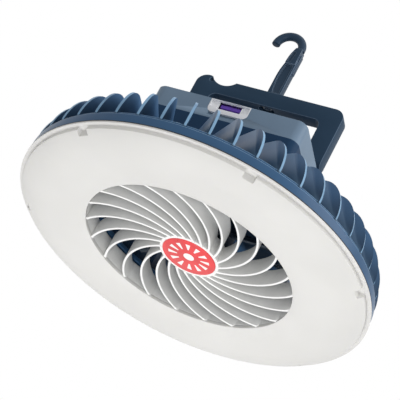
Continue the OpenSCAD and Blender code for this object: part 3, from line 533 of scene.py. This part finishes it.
# ---------- shapes ----------
def rounded(corners, steps=4):
    """Closed outline of (x, y, radius) corners in millimetres, rounded, as points in metres"""
    points = []
    for i, (x, y, radius) in enumerate(corners):
        here = Vector((x, y))
        before = Vector(corners[i - 1][:2]) - here
        after = Vector(corners[(i + 1) % len(corners)][:2]) - here
        if radius <= 0:
            points.append(here * MM)
            continue
        reach = radius / math.tan(before.angle(after) / 2)
        a = here + before.normalized() * min(reach, before.length * 0.48)
        b = here + after.normalized() * min(reach, after.length * 0.48)
        for k in range(steps + 1):
            t = k / steps
            points.append(((1 - t) ** 2 * a + 2 * t * (1 - t) * here + t**2 * b) * MM)
    return points


def finished_mesh(bm, name, crease=32):
    """Closes a bmesh into a mesh with outward faces and smooth shading up to the crease angle"""
    bmesh.ops.remove_doubles(bm, verts=bm.verts, dist=1e-7)
    bmesh.ops.recalc_face_normals(bm, faces=bm.faces)
    mesh = bpy.data.meshes.new(name)
    bm.to_mesh(mesh)
    bm.free()
    mesh.shade_smooth()
    mesh.set_sharp_from_angle(angle=math.radians(crease))
    return mesh


def lathe(outline, name, steps=192):
    """Turns a closed outline of (radius, height) points round the Z axis"""
    bm = bmesh.new()
    poles = {j: bm.verts.new((0, 0, p[1])) for j, p in enumerate(outline) if p[0] == 0}
    rings = []
    for i in range(steps):
        a = 2 * math.pi * i / steps
        turned = ((p[0] * math.cos(a), p[0] * math.sin(a), p[1]) for p in outline)
        rings.append([poles.get(j) or bm.verts.new(spot) for j, spot in enumerate(turned)])
    for i, ring in enumerate(rings):
        other = rings[(i + 1) % steps]
        for j in range(len(outline)):
            k = (j + 1) % len(outline)
            corners = list(dict.fromkeys((ring[j], ring[k], other[k], other[j])))
            if len(corners) > 2:
                bm.faces.new(corners)
    return finished_mesh(bm, name)


def sweep(sections, name, crease=32):
    """Skin over a list of closed sections with equally many points, its ends capped"""
    bm = bmesh.new()
    rows = [[bm.verts.new(p) for p in section] for section in sections]
    for row, other in zip(rows, rows[1:]):
        for j in range(len(row)):
            k = (j + 1) % len(row)
            bm.faces.new((row[j], row[k], other[k], other[j]))
    bm.faces.new(rows[0][::-1])
    bm.faces.new(rows[-1])
    return finished_mesh(bm, name, crease)


def put(mesh, name, material, body, stands_for=()):
    """Makes the piece's object, which rides on its body and takes the given finish"""
    piece = bpy.data.objects.new(name, mesh)
    mesh.materials.clear()
    mesh.materials.append(material)
    bpy.context.scene.collection.objects.link(piece)
    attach(piece, body)
    if stands_for:
        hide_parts(*stands_for)
    return piece


def skinned(node, material, ease=0.0, segments=2, crease=34, name=None, held=False):
    """A copy of a CAD node with its loose triangles merged, its sharp edges eased and its curves smooth

    held keeps the easing small enough for the narrowest steps, so that no faces fold through each other
    """
    bm = bmesh.new()
    bm.from_mesh(frame["nodes"][node].data)
    bmesh.ops.remove_doubles(bm, verts=bm.verts, dist=2e-6)
    bmesh.ops.dissolve_limit(bm, angle_limit=math.radians(0.4), verts=bm.verts, edges=bm.edges)
    if ease:
        # marks the eased faces, where the materials paint a highlight
        highlit = bm.faces.layers.float.new("highlit")
        least = math.radians(crease)
        sharp = [e for e in bm.edges if len(e.link_faces) == 2 and e.calc_face_angle(0) > least]
        eased = bmesh.ops.bevel(
            bm, geom=sharp, offset=ease, segments=segments, profile=0.6, affect="EDGES", clamp_overlap=held
        )
        for face in eased["faces"]:
            face[highlit] = 1.0
    mesh = finished_mesh(bm, name or node + "_skin", 40)
    return put(mesh, name or node + "_skin", material, BODY[node], (node,))


def dress(material, *nodes):
    """Gives CAD nodes their finish"""
    for node in nodes:
        slots = frame["nodes"][node].data.materials
        slots.clear()
        slots.append(material)


def around_tree():
    """Geometry Nodes tree that sets copies of a shape around the Z axis"""
    tree = bpy.data.node_groups.new("around_axis", "GeometryNodeTree")
    for name, kind in (("Shape", "Geometry"), ("Count", "Int"), ("First", "Float"), ("Finish", "Material")):
        tree.interface.new_socket(name=name, in_out="INPUT", socket_type="NodeSocket" + kind)
    tree.interface.new_socket(name="Shape", in_out="OUTPUT", socket_type="NodeSocketGeometry")

    def node(kind, settings=None, **links):
        made = tree.nodes.new(kind)
        for key, value in (settings or {}).items():
            setattr(made, key, value)
        for key, value in links.items():
            socket = made.inputs[int(key[1:])] if key[0] == "i" and key[1:].isdigit() else made.inputs[key]
            if isinstance(value, bpy.types.NodeSocket):
                tree.links.new(value, socket)
            else:
                socket.default_value = value
        return made

    given = node("NodeGroupInput").outputs
    points = node("GeometryNodePoints", Count=given["Count"])
    index = node("GeometryNodeInputIndex")
    step = node("ShaderNodeMath", {"operation": "DIVIDE"}, i0=2 * math.pi, i1=given["Count"])
    turn = node("ShaderNodeMath", {"operation": "MULTIPLY_ADD"}, i0=index.outputs[0], i1=step.outputs[0],
                i2=given["First"])
    spin = node("ShaderNodeCombineXYZ", Z=turn.outputs[0])
    copies = node("GeometryNodeInstanceOnPoints", Points=points.outputs[0], Instance=given["Shape"],
                  Rotation=spin.outputs[0])
    real = node("GeometryNodeRealizeInstances", Geometry=copies.outputs[0])
    painted = node("GeometryNodeSetMaterial", Geometry=real.outputs[0], Material=given["Finish"])
    node("NodeGroupOutput", Shape=painted.outputs[0])
    return tree


def around(mesh, count, first, material, name):
    """Plain mesh of count copies of a shape, set round the axis from the azimuth first"""
    carrier = bpy.data.objects.new(name, mesh)
    bpy.context.scene.collection.objects.link(carrier)
    modifier = carrier.modifiers.new("around", "NODES")
    tree = bpy.data.node_groups.get("around_axis") or around_tree()
    modifier.node_group = tree
    given = {i.name: i.identifier for i in tree.interface.items_tree if i.in_out == "INPUT"}
    modifier[given["Count"]] = count
    modifier[given["First"]] = math.radians(first)
    modifier[given["Finish"]] = material
    bpy.context.view_layer.update()
    evaluated = carrier.evaluated_get(bpy.context.evaluated_depsgraph_get())
    plain = bpy.data.meshes.new_from_object(evaluated)
    plain.name = name
    bpy.data.objects.remove(carrier)
    return plain


def polar(radius, degrees):
    return Vector((radius * math.cos(math.radians(degrees)), radius * math.sin(math.radians(degrees))))


def circle_through(a, b, c):
    """Centre of the circle through three points"""
    d = 2 * (a.x * (b.y - c.y) + b.x * (c.y - a.y) + c.x * (a.y - b.y))
    x = a.dot(a) * (b.y - c.y) + b.dot(b) * (c.y - a.y) + c.dot(c) * (a.y - b.y)
    y = a.dot(a) * (c.x - b.x) + b.dot(b) * (a.x - c.x) + c.dot(c) * (b.x - a.x)
    return Vector((x / d, y / d))


def rib_mesh(settings):
    """One spiral rib: a wall that follows an arc, rounded at its front and thicker at its rear"""
    inner, outer = 16.0 * MM, 60.0 * MM
    start, end = polar(inner, 0), polar(outer, -settings.sweep)
    middle = polar((inner + outer) / 2, -settings.middle)
    centre = circle_through(start, middle, end)
    radius = (start - centre).length
    first = math.atan2(*(start - centre).yx)
    last = math.atan2(*(end - centre).yx)
    half = settings.rib_t / MM / 2
    section = rounded(
        [(-half, 2.3, 0.45), (half, 2.3, 0.45), (half, 12.2, 0.2), (-half, 12.2, 0.2)]
    )
    sections = []
    for i in range(31):
        t = i / 30
        a = first + (last - first) * t
        out = Vector((math.cos(a), math.sin(a)))
        flare = 1 + 0.5 * max(0.0, (t - 0.93) / 0.07) + 0.35 * max(0.0, (0.05 - t) / 0.05)
        row = []
        for across, height in section:
            spot = centre + out * (radius + across * flare)
            # the rib's end steps back behind the lens's lip
            clear = max(0.0, (t - 0.965) / 0.035)
            lift = (4.1 * MM - height) * clear if height < 4.1 * MM else 0.0
            row.append((spot.x, spot.y, height + lift))
        sections.append(row)
    return sweep(sections, "rib")


def fin_mesh(settings):
    """One fin: a rounded shoulder outside, a long flat back, and softly rounded edges"""
    ring_r, ring_top, foot = 99.5, 15.0, 0.3
    rise, depth, end_rise = 23.8, 16.0, 23.9
    lean = math.radians(settings.lean)
    length = ring_r * math.cos(lean) - math.sqrt(59.1**2 - (ring_r * math.sin(lean)) ** 2)
    outline = [(0.5, 0.0)]
    for i in range(1, 15):
        a = math.radians(90 * i / 14)
        outline.append((0.5 + depth * (1 - math.cos(a)), rise * math.sin(a)))
    outline += [(length, end_rise), (length, 0.0)]
    bm = bmesh.new()
    half = settings.fin_t / MM / 2
    sides = []
    for s in (-1, 1):
        row = []
        for x, y in outline:
            spot = Vector((ring_r, 0)) - polar(1, settings.lean) * x + polar(1, settings.lean + 90) * half * s
            row.append(bm.verts.new((spot.x * MM, spot.y * MM, (ring_top - foot + y) * MM)))
        sides.append(row)
    edge = []
    for i in range(len(outline)):
        k = (i + 1) % len(outline)
        bm.faces.new((sides[0][i], sides[0][k], sides[1][k], sides[1][i]))
        if i < len(outline) - 2:
            edge.append((i, k))
    bm.faces.new(sides[0][::-1])
    bm.faces.new(sides[1])
    soft = [bm.edges.get((row[i], row[k])) for row in sides for i, k in edge]
    bmesh.ops.bevel(
        bm, geom=soft, offset=0.42 * MM, segments=3, profile=0.5, affect="EDGES", clamp_overlap=False
    )
    return finished_mesh(bm, "fin", 50)


# ---------- operators ----------
class FanPiece:
    """What the operators share"""

    bl_options = {"REGISTER", "UNDO"}

    def settings(self, group):
        return getattr(bpy.context.scene, "fan_" + group)


class FAN_OT_lamp(FanPiece, bpy.types.Operator):
    """Make the ring lamp: lens, rim seal, light board, chips and tray"""

    bl_idname = "fan.lamp"
    bl_label = "Ring lamp"

    def execute(self, context):
        lamp = self.settings("lamp")
        skinned("lamp_lens", lens_finish(lamp), lamp.ease, name="lens_ring", held=True)
        black = rubber_finish("seal_rubber", lamp.seal)
        seal = lathe(
            rounded([(98.0, 9.0, 0.1), (99.8, 9.0, 0.1), (99.85, 9.75, 0.15), (98.0, 9.6, 0.1)]), "seal_lip"
        )
        put(seal, "seal_lip", black, "fan_body", ("rim_seal",))
        dress(board_finish("lamp_board", "E9E8E2", "B8B7A8"), "led_board")
        dress(chip_finish(lamp), "led_chips")
        dress(metal("tray_coat", "46586B", 0.45, (1, 1, 8), 700), "lamp_tray")
        return {"FINISHED"}


class FAN_OT_grille(FanPiece, bpy.types.Operator):
    """Make the spiral grille: hub, ribs and duct"""

    bl_idname = "fan.grille"
    bl_label = "Spiral grille"

    def execute(self, context):
        grille = self.settings("grille")
        white = grille_finish(grille)
        hub = lathe(
            rounded([
                (15.1, 2.6, 0.35), (16.9, 2.6, 0.5), (16.9, 12.8, 0.3), (15.1, 12.8, 0.3), (15.1, 5.3, 0.2),
                (0, 5.3, 0), (0, 3.8, 0), (15.1, 3.8, 0.1),
            ]),
            "grille_hub",
        )
        duct = lathe(
            rounded([
                (59.0, 3.72, 0.4), (61.0, 3.72, 0.4), (61.0, 11.0, 0.3), (65.6, 11.0, 0.3), (65.6, 12.5, 0.3),
                (61.0, 12.5, 0.2), (61.0, 13.5, 0.6), (59.0, 13.5, 0.6),
            ]),
            "grille_duct",
        )
        ribs = around(rib_mesh(grille), grille.ribs, grille.first, white, "grille_ribs")
        put(ribs, "grille_ribs", white, "fan_body", ("front_grille",))
        put(hub, "grille_hub", white, "fan_body")
        put(duct, "grille_duct", white, "fan_body")
        disc = lathe(
            rounded([(0, 2.4, 0), (15.05, 2.4, 0.3), (15.05, 3.8, 0), (0, 3.8, 0)]), "badge_disc", 96
        )
        put(disc, "badge_disc", badge_finish(grille), "fan_body", ("hub_badge",))
        return {"FINISHED"}


class FAN_OT_housing(FanPiece, bpy.types.Operator):
    """Make the housing: ring, fins and crown"""

    bl_idname = "fan.housing"
    bl_label = "Finned housing"

    def execute(self, context):
        housing = self.settings("housing")
        blue = ring_finish(housing)
        ring = lathe(
            rounded([
                (96.5, 9.6, 0.2), (99.5, 9.6, 0.1), (99.5, 15.0, 0.6), (97.9, 15.0, 0.2), (97.9, 17.0, 0.6),
                (88.5, 17.0, 0.5), (88.5, 14.5, 0.4), (96.5, 14.5, 0.3),
            ]),
            "housing_ring",
        )
        crown = lathe(
            rounded([(0, 36.0, 0), (62.0, 36.0, 0.8), (62.0, 39.0, 0.8), (0, 39.0, 0)]), "crown_plate"
        )
        inner = lathe(
            rounded([(58.6, 14.5, 0.3), (63.1, 14.5, 0.3), (63.1, 17.0, 0.5), (58.6, 17.0, 0.5)]),
            "inner_flange",
        )
        finish = fin_finish(housing)
        fins = around(fin_mesh(housing), housing.fins, housing.first, finish, "cooling_fins")
        put(fins, "cooling_fins", finish, "fan_body", ("fin_housing",))
        put(ring, "housing_ring", blue, "fan_body")
        put(crown, "crown_plate", blue, "fan_body")
        put(inner, "inner_flange", blue, "fan_body")
        boss = lathe(rounded([(0, 15.6, 0), (3.2, 15.6, 0.1), (3.2, 19.0, 0.5), (0, 19.0, 0)]), "boss", 32)
        boss.transform(Matrix.Translation((92 * MM, 0, 0)))
        put(around(boss, 6, 32, blue, "tray_bosses"), "tray_bosses", blue, "fan_body")
        return {"FINISHED"}


class FAN_OT_motor(FanPiece, bpy.types.Operator):
    """Finish the impeller and its motor"""

    bl_idname = "fan.motor"
    bl_label = "Impeller and motor"

    def execute(self, context):
        skinned("impeller", moulded("blade_navy", srgb("28323D"), 1200, 0.03, 0.36, 0.3, 0.1))
        dress(metal("cup_steel", "B9BCC0", 0.25, (1, 1, 10)), "rotor_cup")
        dress(rubber_finish("magnet_grey", srgb("3C3D40")), "rotor_magnet")
        dress(metal("ground_steel", "C6C9CC", 0.16, (1, 1, 12), 1200), "motor_shaft", "front_bearing",
              "rear_bearing", "hinge_pins")
        dress(metal("spring_steel", "6F7378", 0.35), "shaft_clip", "hook_clip")
        dress(metal("laminated_iron", "8C8F93", 0.4, (0.1, 0.1, 6), 1600, 0.2), "stator_core")
        dress(coil_finish(), "stator_coils")
        dress(board_finish("motor_board_green", "1E5B3C", "3D8A5E"), "motor_board", "main_board")
        dress(moulded("black_moulding", srgb("26292D"), 1400, 0.03, 0.5), "motor_base", "cell_holder",
              "board_parts", "usb_c_tongue", "fan_switch", "light_switch")
        return {"FINISHED"}


class FAN_OT_fasteners(FanPiece, bpy.types.Operator):
    """Finish the screws and washers"""

    bl_idname = "fan.fasteners"
    bl_label = "Fasteners"

    def execute(self, context):
        steel = metal("plated_steel", "AEB2B6", 0.26, spots=0.15)
        dress(steel, *(kind + "_screws" for kind in ("tray", "grille", "motor", "base", "cover", "board")))
        dress(moulded("washer_nylon", srgb("D5D7DA"), 1800, 0.02, 0.45), "hinge_washers")
        return {"FINISHED"}


class FAN_OT_box(FanPiece, bpy.types.Operator):
    """Make the battery box with its shells, cells, ports and buttons"""

    bl_idname = "fan.box"
    bl_label = "Battery box"

    def execute(self, context):
        box = self.settings("box")
        skinned("box_base", moulded("shell_navy", box.lower, 1300, 0.03, 0.42, 0.06))
        skinned("box_cover", moulded("cover_slate", box.upper, 1300, 0.03, 0.38, 0.15))
        dress(wrap_finish(), *(f"battery_cell_{i}" for i in range(1, 5)))
        dress(metal("nickel_strip", "C7C5BE", 0.22, (1, 8, 1)), "cell_tabs")
        skinned("port_trim", moulded("bright_trim", srgb("E9EAEE"), 1600, 0.015, 0.28, 0.4), 0.05 * MM)
        dress(metal("socket_shell", "D5D8DB", 0.18, (8, 1, 1)), "usb_a_shell", "usb_c_shell")
        dress(moulded("tongue_violet", box.tongue, 1500, 0.02, 0.35), "usb_a_tongue")
        soft = moulded("button_rubber", box.button, 1700, 0.05, 0.6)
        for node in ("fan_button", "light_button"):
            skinned(node, soft, box.ease, 3)
        dress(window_finish(), "charge_window")
        return {"FINISHED"}


class FAN_OT_bracket(FanPiece, bpy.types.Operator):
    """Make the folding bracket and the swivel hook"""

    bl_idname = "fan.bracket"
    bl_label = "Bracket and hook"

    def execute(self, context):
        bracket = self.settings("bracket")
        # the last argument weights the painted highlight on the eased edges
        plate = moulded("bracket_navy", bracket.plate, 1200, 0.03, 0.4, 0.04, 0.05, 0.05, 0.5)
        skinned("bracket", plate, bracket.ease)
        # the last argument weights the painted highlight on the eased edges
        navy = moulded("hook_navy", bracket.hook, 1400, 0.03, 0.34, 0.12, 0.08, 0.1, 0.95)
        skinned("hook_arm", navy, 0.15 * MM)
        sections = []
        # millimetres: the wire's radius, the bend's centre and its radius
        wire, bend_x, bend_z, bend_r = 2.35, -6.0, 147.4, 7.5
        stem_x, tip_x = bend_x + bend_r, bend_x - bend_r
        for i in range(49):
            t = i / 48
            a = math.pi * t
            centre = Vector((bend_x + bend_r * math.cos(a), 0, bend_z + bend_r * math.sin(a)))
            out = Vector((math.cos(a), 0, math.sin(a)))
            sections.append((centre, out, wire))
        stem = [(Vector((stem_x, 0, bend_z - down)), Vector((1, 0, 0)), r)
                for down, r in ((8.8, 1.7), (0.85, 1.7), (0.8, 2.3), (0.4, wire))]
        tip = [(Vector((tip_x, 0, bend_z - 0.25 * d)), Vector((-1, 0, 0)), wire * s)
               for d, s in ((0.4, 0.99), (0.9, 0.95), (1.5, 0.85), (2.0, 0.7), (2.3, 0.45))]
        rows = []
        for centre, out, radius in stem + sections + tip:
            ring = []
            for k in range(24):
                b = 2 * math.pi * k / 24
                ring.append((centre + (out * math.cos(b) + Vector((0, 1, 0)) * math.sin(b)) * radius) * MM)
            rows.append(ring)
        put(sweep(rows, "hook_wire"), "hook_wire", navy, "hook", ("hook_tip",))
        return {"FINISHED"}


class FAN_OT_stage(FanPiece, bpy.types.Operator):
    """Set the camera, the lamps, the sky and the floor"""

    bl_idname = "fan.stage"
    bl_label = "Stage"

    RIGHT = Vector((0.89879, 0.15494, 0.41009))
    DOWN = Vector((0.24740, 0.59297, -0.76627))
    AHEAD = Vector((-0.36190, 0.79017, 0.49462))
    EYE = Vector((0.5620, -1.2470, -0.7438))

    def lamp(self, name, place, size, power):
        data = bpy.data.lights.new(name, "AREA")
        data.shape, data.size, data.energy = "DISK", size, power
        lamp = bpy.data.objects.new(name, data)
        lamp.location = place
        lamp.rotation_euler = (Vector((0, 0, 0.05)) - Vector(place)).to_track_quat("-Z", "Y").to_euler()
        bpy.context.scene.collection.objects.link(lamp)

    def execute(self, context):
        scene, stage = context.scene, self.settings("stage")
        data = bpy.data.cameras.new("camera")
        data.lens, data.sensor_width, data.shift_y = stage.focal, 36, 0.005
        data.clip_start, data.clip_end = 0.05, 20
        camera = bpy.data.objects.new("camera", data)
        turn = Matrix((self.RIGHT, -self.DOWN, -self.AHEAD)).transposed()
        camera.matrix_world = Matrix.Translation(self.EYE) @ turn.to_4x4()
        scene.collection.objects.link(camera)
        scene.camera = camera

        toward = -self.AHEAD
        self.lamp("key", toward * 0.35 - self.RIGHT * 0.35 + self.DOWN * 0.75, 0.7, stage.key)
        self.lamp("front", toward * 1.4 + self.RIGHT * 0.2, 0.8, stage.front)
        self.lamp("side", toward * 0.3 + self.RIGHT * 1.2 + Vector((0, 0, 0.25)), 1.0, stage.side)
        self.lamp("top", (0.4, -0.5, 1.6), 2.0, stage.top)

        world = bpy.data.worlds.new("studio_sky")
        world.use_nodes = True
        scene.world = world
        nodes, links = world.node_tree.nodes, world.node_tree.links
        soft = nodes["Background"]
        soft.inputs["Color"].default_value = (1.0, 1.0, 1.0, 1.0)
        soft.inputs["Strength"].default_value = stage.sky
        seen = nodes.new("ShaderNodeBackground")
        seen.inputs["Color"].default_value = (1.0, 1.0, 1.0, 1.0)
        ray = nodes.new("ShaderNodeLightPath")
        either = nodes.new("ShaderNodeMath")
        either.operation = "ADD"
        links.new(ray.outputs["Is Camera Ray"], either.inputs[0])
        links.new(ray.outputs["Is Transmission Ray"], either.inputs[1])
        shown = nodes.new("ShaderNodeMath")
        shown.operation = "ADD"
        links.new(either.outputs[0], shown.inputs[0])
        links.new(ray.outputs["Is Glossy Ray"], shown.inputs[1])
        mix = nodes.new("ShaderNodeMixShader")
        links.new(shown.outputs[0], mix.inputs[0])
        links.new(soft.outputs[0], mix.inputs[1])
        links.new(seen.outputs[0], mix.inputs[2])
        links.new(mix.outputs[0], nodes["World Output"].inputs["Surface"])

        # the floor is seen from above only, so the camera below it still sees the lamp
        f = Finish("plain_floor")
        cloud = f.noise(3, 2)
        f.surface(Base_Color=f.mix(cloud, f.shade(stage.floor, 0.985), stage.floor), Roughness=0.85)
        path = f.node("ShaderNodeLightPath", out="Is Camera Ray")
        behind = f.node("ShaderNodeNewGeometry", out="Backfacing")
        clear = f.node("ShaderNodeBsdfTransparent")
        shown = path * (1 - behind)
        both = f.node("ShaderNodeMixShader", inputs={0: shown, 1: clear, 2: Wire(f, f.shader.outputs[0])})
        f.tree.links.new(both.socket, f.tree.nodes["Material Output"].inputs["Surface"])
        bm = bmesh.new()
        bmesh.ops.create_circle(bm, cap_ends=True, segments=96, radius=4.0)
        mesh = bpy.data.meshes.new("floor")
        bm.to_mesh(mesh)
        bm.free()
        mesh.materials.append(f.material)
        floor = bpy.data.objects.new("floor", mesh)
        floor.location.z = CAD_BOX[0].z - 0.0005
        scene.collection.objects.link(floor)
        scene.view_settings.view_transform = "Standard"
        return {"FINISHED"}


class FAN_PT_sidebar(bpy.types.Panel):
    """Lists the fan's settings and its operators"""

    bl_idname = "FAN_PT_sidebar"
    bl_label = "Camping fan"
    bl_space_type = "VIEW_3D"
    bl_region_type = "UI"
    bl_category = "Fan"

    def draw(self, context):
        for name, kind in GROUPS.items():
            box = self.layout.box()
            box.label(text=kind.__doc__)
            for key in kind.__annotations__:
                box.prop(getattr(context.scene, "fan_" + name), key)
        for kind in OPERATORS:
            self.layout.operator(kind.bl_idname)


GROUPS = {
    "lamp": LampSettings,
    "grille": GrilleSettings,
    "housing": HousingSettings,
    "box": BoxSettings,
    "bracket": BracketSettings,
    "stage": StageSettings,
}
OPERATORS = (
    FAN_OT_stage,
    FAN_OT_lamp,
    FAN_OT_grille,
    FAN_OT_housing,
    FAN_OT_motor,
    FAN_OT_fasteners,
    FAN_OT_box,
    FAN_OT_bracket,
)


def register():
    for kind in (*GROUPS.values(), *OPERATORS, FAN_PT_sidebar):
        bpy.utils.register_class(kind)
    for name, kind in GROUPS.items():
        setattr(bpy.types.Scene, "fan_" + name, PointerProperty(type=kind))


def unregister():
    for name in GROUPS:
        delattr(bpy.types.Scene, "fan_" + name)
    for kind in reversed((*GROUPS.values(), *OPERATORS, FAN_PT_sidebar)):
        bpy.utils.unregister_class(kind)


def main():
    register()
    for kind in OPERATORS:
        group, name = kind.bl_idname.split(".")
        getattr(getattr(bpy.ops, group), name)()


if __name__ == "__main__":
    main()
